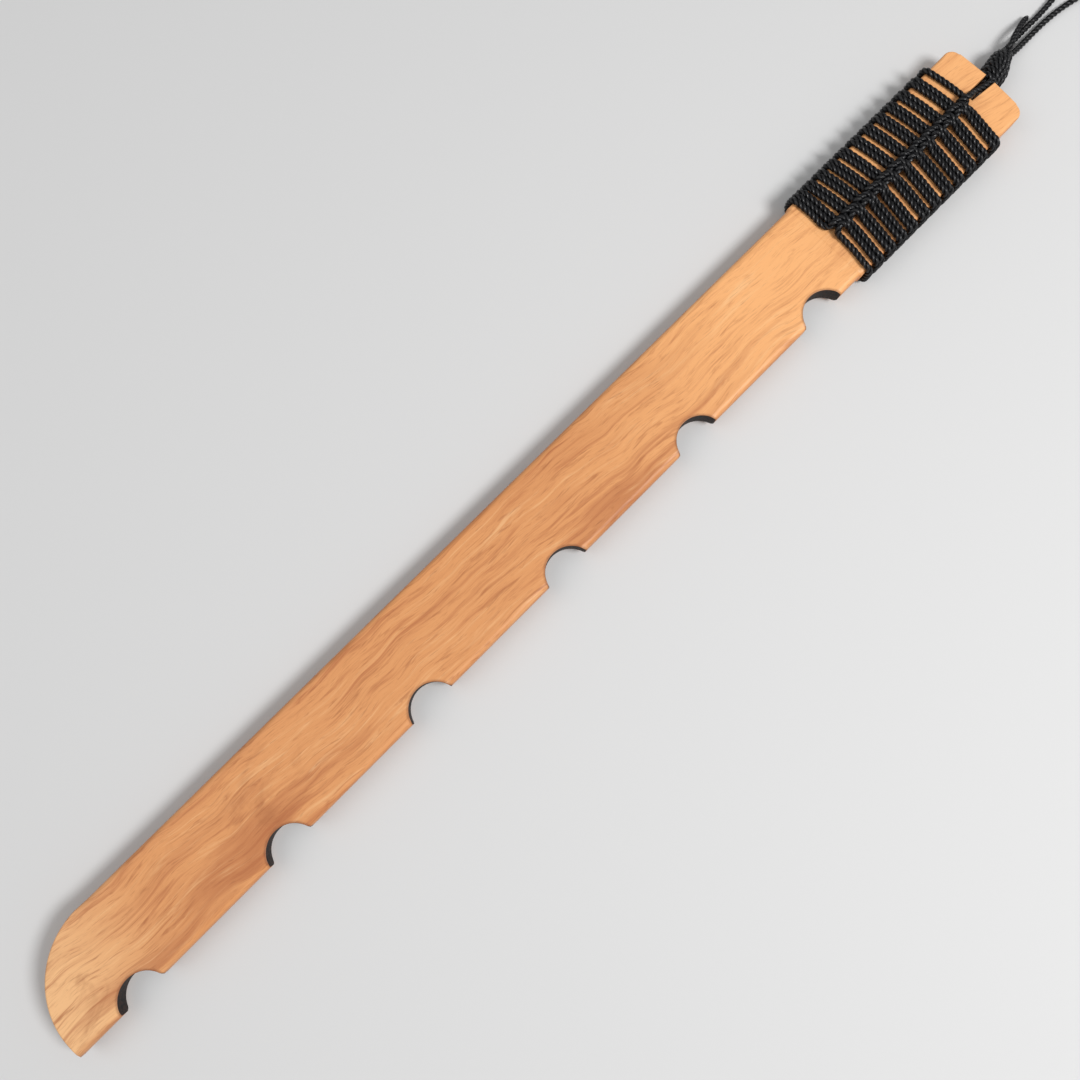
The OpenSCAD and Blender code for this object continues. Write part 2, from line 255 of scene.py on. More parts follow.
def edge_points(x, side):
    """Upwards round the back edge if side is 1, downwards round the notched edge if it is -1."""
    made = []
    for i, angle in enumerate(EDGE_ANGLES):
        up = side > 0
        a = math.radians(-angle if up else angle)
        z = TURN_BOTTOM if (i < len(EDGE_ANGLES) // 2) == up else TURN_TOP
        made.append((x, side * (TURN_Y + TURN_R * math.cos(a)), z + TURN_R * math.sin(a)))
    return made


def down_turn(x, strand, shift):
    """From the spine over the notched half and round its edge."""
    turn_x = x + shift + strand * STRAND_X
    y = spine_y(x)
    return [
        (turn_x - strand * 0.06 * CORD_D, y - 1.65 * CORD_D, LOWER_Z + 0.16 * CORD_D),
        (turn_x, y - 2.5 * CORD_D, LOWER_Z),
        (turn_x + bow(HIP_Y), -HIP_Y, LOWER_Z),
    ] + edge_points(turn_x + bow(TURN_Y), -1)


def up_turn(x, strand, shift, flare):
    """Round the back edge and over the back half to the spine."""
    turn_x = x - PITCH / 2 + shift + strand * STRAND_X
    y = spine_y(x)
    return edge_points(turn_x + bow(TURN_Y) + flare, 1) + [
        (turn_x + bow(HIP_Y) + 0.4 * flare, HIP_Y, LOWER_Z),
        (turn_x, y + 1.6 * CORD_D, LOWER_Z),
    ]


# Share of the pitch along X, of the cord's diameter along Y, and of the way up to the upper layer
SPINE_A = [
    (-0.29, 0.85, 0), (-0.19, 0.62, 0), (-0.05, 0.58, 0), (0.08, 0.66, 0.42), (0.23, 0.66, 1),
    (0.47, 0.50, 1), (0.71, 0.36, 1), (0.90, 0.24, 1), (1.02, -0.22, 1), (1.06, -0.85, 0.92),
]
SPINE_B = [
    (-0.67, 0.66, 0), (-0.61, 0.18, 0), (-0.45, -0.22, 0), (-0.15, -0.48, 0), (0.15, -0.54, 0),
    (0.28, -0.56, 0.55), (0.41, -0.48, 1), (0.60, -0.42, 1), (0.735, -0.62, 1), (0.79, -1.05, 0.85),
]


def spine_pass(x, strand, shift):
    """Along the spine to the next turn, in the lower layer at first and then in the upper one."""
    y = spine_y(x)
    return [
        (x + shift + along * PITCH, y + aside * CORD_D, LOWER_Z + (UPPER_Z - LOWER_Z) * up)
        for along, aside, up in (SPINE_A if strand > 0 else SPINE_B)
    ]


def hitches(strand):
    """All double turns of a strand, each joined to the next along the spine."""
    made = []
    for i, (front, back) in enumerate(zip(FRONT_SHIFT, BACK_SHIFT)):
        x = FIRST_HITCH_X + (i + 1) * PITCH
        flare = 0.0 if i else FIRST_FLARE
        made += down_turn(x, strand, front) + up_turn(x, strand, back, flare)
        if i + 1 < HITCHES:
            made += spine_pass(x, strand, (front + back) / 2)
    return made


START_X = FIRST_HITCH_X + 0.2 * PITCH
MIDDLE_X = START_X - 0.36 * PITCH  # where the two strands meet under the board
LAST_X = FIRST_HITCH_X + HITCHES * PITCH
LAST_TURN_X = LAST_X + 1.55 * CORD_D
SLOT_A_Y = SLOT_FRONT_Y + CORD_R + 1.5 * CORD_GAP
SLOT_B_Y = SLOT_BACK_Y - CORD_R - 1.5 * CORD_GAP
SLOT_A_Z = WOOD_TOP - 0.55 * CORD_D
SLOT_B_Z = SLOT_A_Z - math.sqrt((CORD_D + 2 * CORD_GAP) ** 2 - (SLOT_B_Y - SLOT_A_Y) ** 2)
SLOT_EXIT_X = BUTT_X + 2  # where both strands end, inside the knot


def start_a():
    """From the cord's middle, under the board, up over the back half and into the spine."""
    x = START_X - 0.25 * PITCH
    under = [(MIDDLE_X, 3 * CORD_GAP, UNDER_Z)]
    over = [
        (x + bow(HIP_Y) + 0.7 * FIRST_FLARE, HIP_Y, LOWER_Z),
        (x, spine_y(x) + 1.6 * CORD_D, LOWER_Z),
    ]
    edge = edge_points(x - BAND_BOW + 1.4 * FIRST_FLARE, 1)
    return under + edge + over + spine_pass(FIRST_HITCH_X, 1, 0)[3:]


def start_b():
    """From the cord's middle, under the board, up over the notched half and into the spine."""
    x = START_X
    y = spine_y(x)
    under = [(MIDDLE_X, -3 * CORD_GAP, UNDER_Z)]
    over = [
        (x + bow(HIP_Y), -HIP_Y, LOWER_Z),
        (x - 0.3, y - 2.2 * CORD_D, LOWER_Z),
        (x - 0.4, y - CORD_D, LOWER_Z + 0.25 * CORD_D),
    ]
    edge = edge_points(x - BAND_BOW, -1)[::-1]
    return under + edge + over + spine_pass(FIRST_HITCH_X, -1, 0)[6:]


def end_a():
    """From the last hitch over strand b, down into the slot and out of the butt."""
    return spine_pass(LAST_X, 1, 0)[:4] + [
        (LAST_X + 0.27 * PITCH, spine_y(LAST_X) + 0.5 * CORD_D, UPPER_Z),
        (LAST_TURN_X, 0.3, UPPER_Z + CORD_GAP),
        (LAST_TURN_X + 0.8 * CORD_D, 0, LOWER_Z + 0.55 * CORD_D),
        (SLOT_X + CORD_R + CORD_GAP, 0.3, WOOD_TOP + 0.3 * CORD_D),
        (SLOT_X + 1.2 * CORD_D, 0.2, WOOD_TOP + 0.02 * CORD_D),
        (SLOT_X + 2.3 * CORD_D, 0.25 * SLOT_A_Y, SLOT_A_Z + 0.3 * CORD_D),
        (BUTT_X - CORD_D, 0.8 * SLOT_A_Y, SLOT_A_Z + 0.1 * CORD_D),
        (SLOT_EXIT_X, SLOT_A_Y, SLOT_A_Z),
    ]


def end_b():
    """From the last hitch under strand a, once more round the back edge, and up into the slot."""
    y = spine_y(LAST_X)
    over = [
        (LAST_X + 0.2 * PITCH, y - 0.43 * CORD_D, LOWER_Z),
        (LAST_TURN_X - 0.5 * CORD_D, y - 0.2 * CORD_D, LOWER_Z),
        (LAST_TURN_X, y + 0.5 * CORD_D, LOWER_Z),
        (LAST_TURN_X, y + 1.8 * CORD_D, LOWER_Z),
        (LAST_TURN_X + bow(HIP_Y), HIP_Y, LOWER_Z),
    ]
    under = [
        (LAST_TURN_X + 0.2 * SLOT_LEN, TURN_Y * 0.5, UNDER_Z),
        (SLOT_X + CORD_D, SLOT_B_Y + 0.3 * CORD_D, UNDER_Z),
        (SLOT_X + 2 * CORD_D, SLOT_B_Y, UNDER_Z + 0.35 * CORD_D),
        (SLOT_X + 2.9 * CORD_D, SLOT_B_Y, SLOT_B_Z - 0.8 * CORD_D),
        (BUTT_X - CORD_D, SLOT_B_Y, SLOT_B_Z - 0.1 * CORD_D),
        (SLOT_EXIT_X, SLOT_B_Y, SLOT_B_Z),
    ]
    edge = edge_points(LAST_TURN_X - BAND_BOW, 1)[::-1]
    return spine_pass(LAST_X, -1, 0)[:4] + over + edge + under


# ---------------------------------------------------------------- camera, at the photograph's angle
camera_data = bpy.data.cameras.new("camera")
camera_data.lens = 34.89
camera_data.sensor_width = 36
camera_data.clip_start = 0.02
camera = bpy.data.objects.new("camera", camera_data)
camera.location = (-0.074, -0.0549, 0.5619)
camera.rotation_euler = Euler([math.radians(a) for a in (8.08, -0.86, -45.2)], "XYZ")
bpy.context.scene.collection.objects.link(camera)
bpy.context.scene.camera = camera


# ---------------------------------------------------------------- materials
def new_material(name):
    """A material with only a Principled shader in it, and that shader."""
    material = bpy.data.materials.new(name)
    material.use_nodes = True
    nodes = material.node_tree.nodes
    nodes.clear()
    output = nodes.new("ShaderNodeOutputMaterial")
    shader = nodes.new("ShaderNodeBsdfPrincipled")
    material.node_tree.links.new(shader.outputs[0], output.inputs[0])
    return material, shader


class Tree:
    """Short ways to add the nodes that the materials here share."""

    def __init__(self, material):
        self.nodes = material.node_tree.nodes
        self.links = material.node_tree.links

    def add(self, kind, **values):
        node = self.nodes.new(kind)
        for key, value in values.items():
            setattr(node, key, value)
        return node

    def link(self, source, target):
        self.links.new(source, target)

    def put(self, target, value):
        if isinstance(value, bpy.types.NodeSocket):
            self.link(value, target)
        else:
            target.default_value = value

    def math(self, operation, a, b=0.0, c=0.0):
        node = self.add("ShaderNodeMath", operation=operation)
        for socket, value in zip(node.inputs, (a, b, c)):
            self.put(socket, value)
        return node.outputs[0]

    def times(self, a, b):
        return self.math("MULTIPLY", a, b)

    def split(self, vector):
        node = self.add("ShaderNodeSeparateXYZ")
        self.link(vector, node.inputs[0])
        return node.outputs

    def remap(self, value, low, high, to_low=0.0, to_high=1.0, smooth=True):
        kind = "SMOOTHSTEP" if smooth else "LINEAR"
        node = self.add("ShaderNodeMapRange", interpolation_type=kind)
        for socket, number in zip(node.inputs, (value, low, high, to_low, to_high)):
            self.put(socket, number)
        return node.outputs[0]

    def place(self, vector, scale=(1, 1, 1), turn=(0, 0, 0), move=(0, 0, 0)):
        node = self.add("ShaderNodeMapping")
        self.link(vector, node.inputs["Vector"])
        node.inputs["Location"].default_value = move
        node.inputs["Rotation"].default_value = turn
        node.inputs["Scale"].default_value = scale
        return node.outputs[0]

    def noise(self, vector, scale, detail=4.0, rough=0.55, distort=0.0):
        node = self.add("ShaderNodeTexNoise")
        self.link(vector, node.inputs["Vector"])
        node.inputs["Scale"].default_value = scale
        node.inputs["Detail"].default_value = detail
        node.inputs["Roughness"].default_value = rough
        node.inputs["Distortion"].default_value = distort
        return node.outputs["Fac"]

    def mix(self, share, a, b):
        node = self.add("ShaderNodeMix", data_type="RGBA")
        self.put(node.inputs[0], share)
        self.put(node.inputs[6], a)
        self.put(node.inputs[7], b)
        return node.outputs[2]

    def bump(self, height, strength, distance, normal=None):
        node = self.add("ShaderNodeBump")
        node.inputs["Strength"].default_value = strength
        node.inputs["Distance"].default_value = distance
        self.link(height, node.inputs["Height"])
        if normal is not None:
            self.link(normal, node.inputs["Normal"])
        return node.outputs[0]


def rgb(red, green, blue):
    """A colour given as 0 to 255 display values."""
    def linear(c):
        c /= 255
        return c / 12.92 if c <= 0.04045 else ((c + 0.055) / 1.055) ** 2.4
    return (linear(red), linear(green), linear(blue), 1.0)


WOOD_LIGHT = rgb(235, 171, 111)
WOOD_WARM = rgb(212, 146, 91)
WOOD_PALE = rgb(238, 191, 138)
WOOD_RED = rgb(168, 96, 53)
WOOD_STROKE = rgb(158, 90, 47)
WOOD_BLOTCH = rgb(150, 86, 44)
WOOD_FIBRE = rgb(138, 78, 42)
WOOD_FLECK = rgb(116, 64, 34)
# painted shade for the board's sides and rounded edges
WOOD_SIDE_SHADE = rgb(170, 98, 50)
WOOD_SCORCHED = rgb(112, 60, 32)
CHAR_DARK = rgb(14, 8, 6)
CHAR_PALE = rgb(44, 25, 16)


def wood_grain(t, spot):
    """Five noises that are drawn out along the grain, from broad streaks to fine flecks."""
    x, y, z = t.split(spot)
    # the grain wavers from side to side, and nears the notched edge a little towards the butt
    waver = t.math("SUBTRACT", t.noise(t.place(spot, scale=(16, 9, 9)), 1.0, 2, 0.5), 0.5)
    bent = t.add("ShaderNodeCombineXYZ")
    t.link(x, bent.inputs[0])
    t.link(t.math("ADD", t.times(waver, 0.016), y), bent.inputs[1])
    t.link(z, bent.inputs[2])
    grain = t.place(bent.outputs[0], turn=(0, 0, math.radians(3.2)))
    broad = t.noise(t.place(grain, scale=(7, 60, 60)), 1.0, 3, 0.55, 0.8)
    bands = t.noise(t.place(grain, scale=(13, 230, 230), move=(3, 1, 7)), 1.0, 4, 0.65, 0.8)
    strokes = t.noise(t.place(grain, scale=(46, 420, 300), move=(6, 4, 1)), 1.0, 3, 0.6, 0.9)
    fibres = t.noise(t.place(grain, scale=(80, 1500, 900), move=(1, 5, 2)), 1.0, 3, 0.6)
    flecks = t.noise(t.place(grain, scale=(150, 2600, 1500), move=(8, 2, 4)), 1.0, 2, 0.5)
    return broad, bands, strokes, fibres, flecks


def wood_colour(t, spot, noises):
    """Redder along the middle of the blade, lighter towards the handle and at the tip."""
    broad, bands, strokes, fibres, flecks = noises
    x, y, _ = t.split(spot)
    to_handle = t.remap(x, -0.02, 0.19)
    to_tip = t.remap(x, -0.27, -0.35)
    near_nose = t.remap(x, -0.12, -0.28)
    to_notches = t.remap(y, 0.016, -0.016, 0.45, 1.0)
    lively = t.remap(to_handle, 0.0, 1.0, 1.0, 0.6, smooth=False)
    base = t.mix(to_handle, WOOD_WARM, WOOD_LIGHT)
    base = t.mix(t.times(to_tip, 0.7), base, WOOD_PALE)
    streak = t.times(t.remap(broad, 0.45, 0.68), t.times(to_notches, lively))
    base = t.mix(t.times(streak, 0.62), base, WOOD_RED)
    base = t.mix(t.times(t.remap(bands, 0.5, 0.7), t.times(lively, 0.6)), base, WOOD_RED)
    base = t.mix(t.remap(bands, 0.46, 0.26, 0.0, 0.5), base, WOOD_PALE)
    base = t.mix(t.times(t.remap(strokes, 0.54, 0.72), t.times(lively, 0.55)), base, WOOD_STROKE)
    blotch = t.noise(t.place(spot, scale=(24, 46, 46), turn=(0, 0, math.radians(20))), 1.0, 4, 0.6, 0.5)
    base = t.mix(t.times(t.remap(blotch, 0.55, 0.7), t.times(near_nose, 0.6)), base, WOOD_BLOTCH)
    base = t.mix(t.remap(fibres, 0.56, 0.74, 0.0, 0.36), base, WOOD_FIBRE)
    return t.mix(t.remap(flecks, 0.60, 0.75, 0.0, 0.28), base, WOOD_FLECK)


def notch_burns(t, spot, ragged, up):
    """How scorched the wood is beside a notch, and how charred it is on the notch's own wall."""
    x, y, _ = t.split(spot)
    first = (TIP_X + FIRST_NOTCH - NOTCH_PITCH / 2) * MM
    along = t.math("FLOORED_MODULO", t.math("SUBTRACT", x, first), NOTCH_PITCH * MM)
    along = t.math("SUBTRACT", along, NOTCH_PITCH / 2 * MM)
    aside = t.math("SUBTRACT", y, NOTCH_Y * MM)
    reach = t.math("SQRT", t.math("ADD", t.times(along, along), t.times(aside, aside)))
    from_wall = t.math("SUBTRACT", reach, NOTCH_R * MM)
    on_blade = t.math("LESS_THAN", x, SHOULDER_X * MM)
    scorch = t.remap(t.math("ADD", from_wall, t.times(ragged, -0.0012)), 0.0012, -0.0004)
    wall = t.times(t.remap(from_wall, 0.0006, 0.0001), t.remap(up, 0.85, 0.45))
    return t.times(scorch, on_blade), t.times(wall, on_blade)


def wood_material():
    material, shader = new_material("oiled_beech")
    t = Tree(material)
    spot = t.add("ShaderNodeTexCoord").outputs["Object"]
    noises = wood_grain(t, spot)
    base = wood_colour(t, spot, noises)

    # painted shade: the sides and rounded edges are darker than the faces, as they turn away from the
    # light
    up = t.math("ABSOLUTE", t.split(t.add("ShaderNodeNewGeometry").outputs["Normal"])[2])
    base = t.mix(t.times(t.remap(up, 0.9, 0.3), 0.35), base, WOOD_SIDE_SHADE)

    ragged = t.noise(t.place(spot, scale=(420, 420, 420)), 1.0, 2, 0.6)
    scorch, wall = notch_burns(t, spot, ragged, up)
    base = t.mix(t.times(scorch, 0.55), base, WOOD_SCORCHED)
    base = t.mix(wall, base, t.mix(t.remap(ragged, 0.4, 0.62), CHAR_DARK, CHAR_PALE))
    t.link(base, shader.inputs["Base Color"])

    broad, _, _, fibres, flecks = noises
    rough = t.remap(fibres, 0.3, 0.8, 0.40, 0.56, smooth=False)
    t.link(t.math("ADD", rough, t.times(wall, 0.3)), shader.inputs["Roughness"])
    shader.inputs["Specular IOR Level"].default_value = 0.42
    normal = t.bump(fibres, 0.35, 0.00012)
    normal = t.bump(flecks, 0.25, 0.00008, normal)
    t.link(t.bump(broad, 0.25, 0.0006, normal), shader.inputs["Normal"])
    return material


# painted shade in the grooves between the plies
CORD_GROOVE_SHADE = rgb(0, 0, 1)
CORD_CROWN = rgb(15, 15, 17)
CORD_YARN_HIGHLIGHT = rgb(34, 34, 38)
CORD_DUST = rgb(52, 52, 56)
YARNS = 3  # in each ply


def cord_material():
    material, shader = new_material("black_twisted_cord")
    t = Tree(material)
    spot = t.add("ShaderNodeTexCoord").outputs["Object"]
    way_round = t.split(t.add("ShaderNodeTexCoord").outputs["UV"])[0]
    fuzz = t.noise(spot, 1600, 3, 0.6)
    dust = t.noise(spot, 170, 3, 0.6)
    # fine yarns run along each ply, and wander a little; their relief is real, and their lighter stripes
    # in the colour are painted highlight lines
    wander = t.times(t.noise(spot, 260, 2, 0.5), 1.6)
    yarn_phase = t.math("MULTIPLY_ADD", way_round, 2 * math.pi * YARNS * PLIES, wander)
    yarn_and_highlight_lines = t.math("MULTIPLY_ADD", t.math("SINE", yarn_phase), 0.5, 0.5)
    # painted shade: the groove between two plies is darker than their crowns, as shade falls in it
    crown = t.math("ABSOLUTE", t.math("COSINE", t.times(way_round, math.pi * PLIES)))
    base = t.mix(t.remap(crown, 0.35, 0.95), CORD_GROOVE_SHADE, CORD_CROWN)
    # painted highlight: lighter stripes along the yarns stand in for glints on the plies
    base = t.mix(t.times(yarn_and_highlight_lines, 0.4), base, CORD_YARN_HIGHLIGHT)
    base = t.mix(t.remap(dust, 0.6, 0.8, 0.0, 0.2), base, CORD_DUST)
    t.link(base, shader.inputs["Base Color"])
    t.link(t.remap(fuzz, 0.3, 0.7, 0.26, 0.42, smooth=False), shader.inputs["Roughness"])
    t.link(t.remap(crown, 0.3, 0.95, 0.1, 0.5, smooth=False), shader.inputs["Specular IOR Level"])
    normal = t.bump(yarn_and_highlight_lines, 0.8, 0.0002)
    t.link(t.bump(fuzz, 0.3, 0.00006, normal), shader.inputs["Normal"])
    return material


# ---------------------------------------------------------------- the board
LONG_STEP = 4  # between the points of a long straight side
SHORT_STEP = 2  # between those of the tip and the slot
SHOULDER_LEN = 0.5  # along the step from the blade's width to the handle's
RAMP_HALF = 0.4  # half the length in which the handle's faces drop by the relief
CORNER_MARGIN = 0.6  # between the butt's crown and its corners
EDGE_RINGS = 6  # in a quarter turn from a side to a face
MITRE_LIMIT = 0.55  # keeps the way into a sharp corner from growing too long
SAME_PLACE = 0.02  # outline points closer than this are one point


def arc(cx, cy, r, start, end, count):
    angles = [math.radians(start + (end - start) * i / count) for i in range(count + 1)]
    return [(cx + r * math.cos(a), cy + r * math.sin(a)) for a in angles]


def stretch(a, b, step):
    """Points from a to b, about a step apart."""
    count = max(1, int(math.dist(a, b) / step))
    return [tuple(p + (q - p) * i / count for p, q in zip(a, b)) for i in range(count + 1)]


def butt_end(low, high):
    """Points on the crowned end of the butt."""
    r = ((HANDLE_W / 2) ** 2 + BUTT_CROWN ** 2) / (2 * BUTT_CROWN)
    return [(BUTT_X - r + math.sqrt(r ** 2 - y * y), y) for y in np.linspace(low, high, 8)]


def outline():
    """The board's plan, anticlockwise from the tip's sharp corner, each point with its edge radius."""
    made = []

    def add(points, r):
        for p in points:
            if made and math.dist(made[-1][0], p) < SAME_PLACE:
                made[-1] = (made[-1][0], min(made[-1][1], r))
            else:
                made.append((p, r))

    blade_y = BLADE_W / 2
    handle_y = HANDLE_W / 2
    handle_x = SHOULDER_X + SHOULDER_LEN
    corner_x = BUTT_X - BUTT_CROWN - BUTT_CORNER_R
    crown_y = handle_y - BUTT_CORNER_R - CORNER_MARGIN

    # the notched edge, from the tip to the butt
    dip = -blade_y - NOTCH_Y
    half_mouth = math.sqrt(NOTCH_R ** 2 - dip ** 2)
    mouth_angle = math.degrees(math.asin(dip / NOTCH_R))
    x = TIP_X
    for i in range(NOTCH_COUNT):
        notch_x = TIP_X + FIRST_NOTCH + i * NOTCH_PITCH
        add(stretch((x, -blade_y), (notch_x - half_mouth, -blade_y), LONG_STEP), BLADE_EDGE_R)
        add(arc(notch_x, NOTCH_Y, NOTCH_R, 180 - mouth_angle, mouth_angle, 36), NOTCH_EDGE_R)
        x = notch_x + half_mouth
    add(stretch((x, -blade_y), (SHOULDER_X, -blade_y), LONG_STEP), BLADE_EDGE_R)
    add(stretch((handle_x, -handle_y), (corner_x, -handle_y), LONG_STEP), HANDLE_EDGE_R)

    # the butt with its slot
    corner = arc(corner_x, BUTT_CORNER_R - handle_y, BUTT_CORNER_R, -90, -4, 10)
    front_end = butt_end(-crown_y, SLOT_FRONT_Y)
    back_end = butt_end(SLOT_BACK_Y, crown_y)
    slot_front = (SLOT_X, SLOT_FRONT_Y + SLOT_TAPER)
    slot_back = (SLOT_X, SLOT_BACK_Y)
    add(corner, END_EDGE_R)
    add(front_end, END_EDGE_R)
    add(stretch(front_end[-1], slot_front, SHORT_STEP), SLOT_EDGE_R)
    add(stretch(slot_front, slot_back, 1), SLOT_EDGE_R)
    add(stretch(slot_back, back_end[0], SHORT_STEP), SLOT_EDGE_R)
    add(back_end, END_EDGE_R)
    add([(px, -py) for px, py in corner[::-1]], END_EDGE_R)

    # the back, and the rounded nose with the short straight tip under it
    add(stretch((corner_x, handle_y), (handle_x, handle_y), LONG_STEP), HANDLE_EDGE_R)
    add(stretch((SHOULDER_X, blade_y), (TIP_X + NOSE_R, blade_y), LONG_STEP), BLADE_EDGE_R)
    add(arc(TIP_X + NOSE_R, blade_y - NOSE_R, NOSE_R, 90, 180, 60), END_EDGE_R)
    add(stretch((TIP_X, blade_y - NOSE_R), (TIP_X, -blade_y), SHORT_STEP)[:-1], END_EDGE_R)
    return made


def inward(points):
    """The mitred way into the board at each point of its outline."""
    made = []
    n = len(points)
    for i in range(n):
        a, b, c = Vector(points[i - 1]), Vector(points[i]), Vector(points[(i + 1) % n])
        before, after = (b - a).normalized(), (c - b).normalized()
        way = Vector((-before.y - after.y, before.x + after.x)).normalized()
        made.append(way / max(MITRE_LIMIT, way.dot(Vector((-before.y, before.x)))))
    return made


def edge_fall(x, y):
    """How far the round of the notched edge has fallen from the face at y."""
    inside = BLADE_EDGE_R - (y + BLADE_W / 2)
    if x > SHOULDER_X or inside <= 0:
        return 0.0
    return BLADE_EDGE_R - math.sqrt(max(0.0, BLADE_EDGE_R ** 2 - inside ** 2))


def add_face(vertices, faces, start, n, top):
    """Fills the ring that begins at start. Beside a notch the flat of the face ends where the round of
    the long edge begins, so a border ring comes first."""
    level = BLADE_TOP if top else BLADE_BOTTOM
    border = []
    for k in range(start, start + n):
        if edge_fall(*vertices[k][:2]) > 0:
            border.append(len(vertices))
            vertices.append((vertices[k][0], BLADE_EDGE_R - BLADE_W / 2, level))
        else:
            border.append(k)
    for k in range(n):
        a, b = start + k, start + (k + 1) % n
        face = [a, b] + [v for v in (border[(k + 1) % n], border[k]) if v not in (a, b)]
        if len(face) > 2:
            faces.append(tuple(face if top else face[::-1]))
    faces.append(tuple(border if top else border[::-1]))


def make_board():
    marked = outline()
    points = [p for p, _ in marked]
    radii = [r for _, r in marked]
    n = len(points)
    radii = [(radii[i - 1] + 2 * radii[i] + radii[(i + 1) % n]) / 4 for i in range(n)]
    ways = inward(points)
    quarter = [math.pi / 2 * k / EDGE_RINGS for k in range(EDGE_RINGS + 1)]
    rings = [(angle, False) for angle in quarter[::-1]] + [(angle, True) for angle in quarter]
    vertices = []
    for angle, top in rings:
        for (x, y), r, way in zip(points, radii, ways):
            inset = r * (1 - math.cos(angle))
            y += way.y * inset
            fall = max(r - r * math.sin(angle), edge_fall(x, y))
            vertices.append((x + way.x * inset, y, BLADE_TOP - fall if top else BLADE_BOTTOM + fall))
    faces = []
    for i in range(len(rings) - 1):
        for k in range(n):
            a, b = i * n + k, i * n + (k + 1) % n
            faces.append((a, b, b + n, a + n))
    add_face(vertices, faces, 0, n, top=False)
    add_face(vertices, faces, (len(rings) - 1) * n, n, top=True)
    board = add_mesh("board", vertices, faces)
    # the faces are flat and the sides are rounded
    for polygon in board.data.polygons:
        if len(polygon.vertices) > 4:
            polygon.use_smooth = False
    thin_handle(board)
    return board


def thin_handle(board):
    """Cuts both faces across at the shoulder and brings the handle's share in by the relief."""
    work = bmesh.new()
    work.from_mesh(board.data)
    for offset in (-RAMP_HALF, RAMP_HALF):
        everything = work.verts[:] + work.edges[:] + work.faces[:]
        place = ((SHOULDER_X + offset) * MM, 0, 0)
        bmesh.ops.bisect_plane(work, geom=everything, plane_co=place, plane_no=(1, 0, 0), dist=1e-7)
    middle = (BLADE_BOTTOM + BOARD_T / 2) * MM
    for vertex in work.verts:
        if vertex.co.x > (SHOULDER_X + RAMP_HALF - 0.1) * MM:
            vertex.co.z = middle + (vertex.co.z - middle) * HANDLE_T / BOARD_T
    work.to_mesh(board.data)
    work.free()


wood = wood_material()
cord = cord_material()

board = make_board()
board.data.materials.append(wood)
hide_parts("sword_body")
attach(board, "root")

# ---------------------------------------------------------------- the grip
strand_lines = {
    "grip_strand_a": through(start_a() + hitches(1) + end_a(), CORD_STEP),
    "grip_strand_b": through(start_b() + hitches(-1) + end_b(), CORD_STEP),
}
for node, line in strand_lines.items():
    strand = twisted_cord("cord_" + node, line, radius=CORD_R * PRESSED)
    strand.data.materials.append(cord)
    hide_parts(node)
    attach(strand, "root")


# ---------------------------------------------------------------- the knot
KNOT_FULL = 0.47  # share of the knot's length at which it is thickest
KNOT_START = 0.85  # share of its thickness at the butt
KNOT_TIP = 0.48  # and at the loop
KNOT_TURNS = 8
TURN_POINTS = 28  # in each turn
FIRST_ANGLE = 0.6  # where round the knot the first turn begins
LEAN = 0.55  # how far a turn leans along the knot, as a share of its radius
LEAN_ANGLE = 0.5  # where round the knot a turn leans most
LEAN_POWER = 0.7  # under 1, the turns near the ends lean almost as much as the middle ones
WRAP_DEPTH = 0.8 * CORD_R  # of a wrap's middle under the knot's outside
CORE_R = 3.6
CORE_ENDS = (0.06, 0.94)  # shares of the knot's length


def knot_axis(t):
    """The middle of the knot at a share of its length, and its radius there."""
    if t < KNOT_FULL:
        share = KNOT_START + (1 - KNOT_START) * math.sin(math.pi / 2 * t / KNOT_FULL)
    else:
        fall = math.cos(math.pi * (t - KNOT_FULL) / (1 - KNOT_FULL))
        share = KNOT_TIP + (1 - KNOT_TIP) * (1 + fall) / 2
    drift = KNOT_DRIFT * (0.5 - 0.5 * math.cos(math.pi * t)) ** 2
    return KNOT_X + KNOT_LEN * t, KNOT_Y + drift, KNOT_D / 2, KNOT_D / 2 * share


def knot_line():
    """One cord wound round the knot, each turn leaning towards the loop at the back."""
    made = []
    count = KNOT_TURNS * TURN_POINTS
    margin = WRAP_DEPTH / KNOT_LEN
    for i in range(count + 1):
        t = i / count
        angle = 2 * math.pi * KNOT_TURNS * t + FIRST_ANGLE
        x, y, z, r = knot_axis(margin + (1 - 2 * margin) * t)
        r -= WRAP_DEPTH
        lean = LEAN * math.sin(math.pi * t) ** LEAN_POWER * r * math.cos(angle - LEAN_ANGLE)
        made.append((x + lean, y + r * math.cos(angle), z + r * math.sin(angle)))
    return made


wrap = twisted_cord("cord_knot_wraps", even(knot_line(), CORD_STEP), radius=CORD_R * PRESSED)
wrap.data.materials.append(cord)
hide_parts("lanyard_knot")
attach(wrap, "root")

core_points = [knot_axis(t)[:3] for t in np.linspace(*CORE_ENDS, 12)]
core = twisted_cord("cord_knot_core", through(core_points, 1.0), radius=CORE_R)
core.data.materials.append(cord)
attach(core, "root")

# ---------------------------------------------------------------- the tail and the wrist loop
TAIL_SLIMMED = 0.96  # a cut end is a little thinner

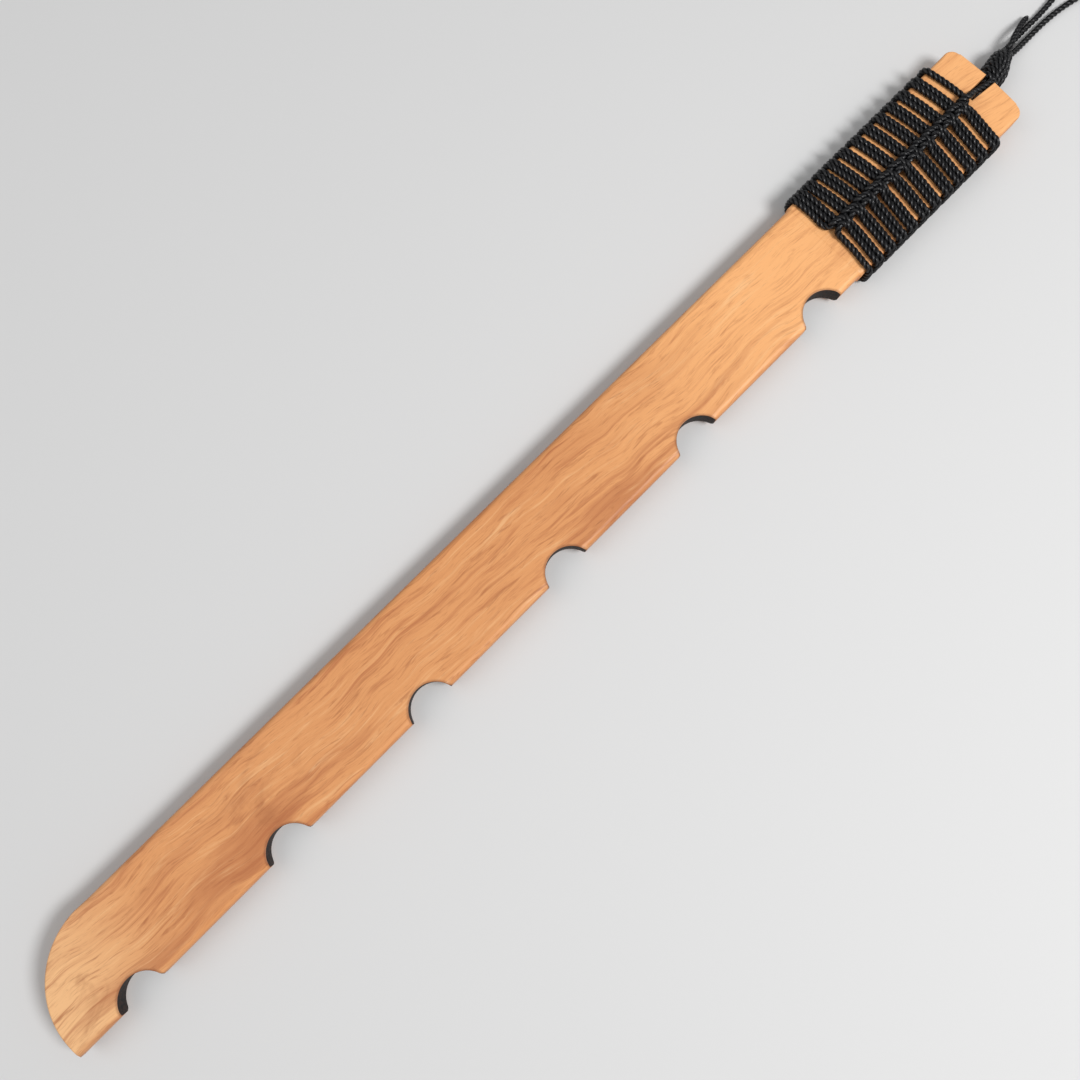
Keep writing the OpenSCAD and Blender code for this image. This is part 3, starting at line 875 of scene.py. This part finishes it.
# x in millimetres from the knot's end, y and z in cord radii
TAIL_ROUTE = [
    (0.8, 2.6, 5.83), (4, 3.2, 5.6), (8, 4.1, 4.97), (13, 4.86, 4.29),
    (18, 5.43, 3.43), (23, 6, 2.17), (26, 6.23, 1.49), (28.5, 6.29, 1.26),
]
LOOP_ROUTE = [
    (0.9, 3.26, 3.77), (7, 3.6, 2.29), (15, 3.89, 1.26), (25, 4, 1), (38, 4.06, 1),
    (54, 4.91, 1), (70, 7.09, 1), (87, 10.29, 1), (104, 12.91, 1), (120, 13.94, 1),
    (134, 12, 1), (143.5, 6.86, 1), (146, 0.86, 1), (141, -4.91, 1), (129, -8.57, 1),
    (113, -9.03, 1), (96, -6.86, 1), (79, -4, 1), (62, -1.3, 1), (47, 0.4, 1),
    (33, 1.05, 1), (20, 1.05, 1.14), (9, 0.9, 2.17), (0.7, 0.9, 3.77),
]


def from_knot(route):
    return [(KNOT_END + x, y * CORD_R, z * CORD_R) for x, y, z in route]


tail_line = through(from_knot(TAIL_ROUTE), CORD_STEP)
tail = twisted_cord("cord_tail", tail_line, radius=CORD_R * TAIL_SLIMMED)
tail.data.materials.append(cord)
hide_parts("lanyard_tail")
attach(tail, "root")

loop_line = through(from_knot(LOOP_ROUTE), CORD_STEP)
loop = twisted_cord("cord_wrist_loop", loop_line)
loop.data.materials.append(cord)
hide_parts("wrist_loop")
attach(loop, "root")

# ---------------------------------------------------------------- floor and light
bpy.ops.mesh.primitive_plane_add(size=8, location=(0, 0, 0))
floor = bpy.context.object
floor.name = "floor"
floor_material, floor_shader = new_material("pale_floor")
floor_shader.inputs["Base Color"].default_value = rgb(206, 206, 206)
floor_shader.inputs["Roughness"].default_value = 0.8
floor.data.materials.append(floor_material)


def area_light(name, place, aim, size, power):
    """A round lamp that faces aim, with its size in metres and its power in watts."""
    data = bpy.data.lights.new(name, "AREA")
    data.shape = "DISK"
    data.size = size
    data.energy = power
    light = bpy.data.objects.new(name, data)
    light.location = place
    light.rotation_euler = (Vector(aim) - Vector(place)).to_track_quat("-Z", "Y").to_euler()
    bpy.context.scene.collection.objects.link(light)


area_light("key", (0.5, -1.0, 1.5), (0.05, 0, 0), 0.7, 27)
area_light("fill", (-0.9, 0.8, 1.5), (0, 0, 0), 1.6, 8)

world = bpy.data.worlds.new("studio")
world.use_nodes = True
background = world.node_tree.nodes["Background"]
background.inputs["Color"].default_value = (1, 1, 1, 1)
background.inputs["Strength"].default_value = 0.42
bpy.context.scene.world = world
bpy.context.scene.view_settings.view_transform = "Standard"
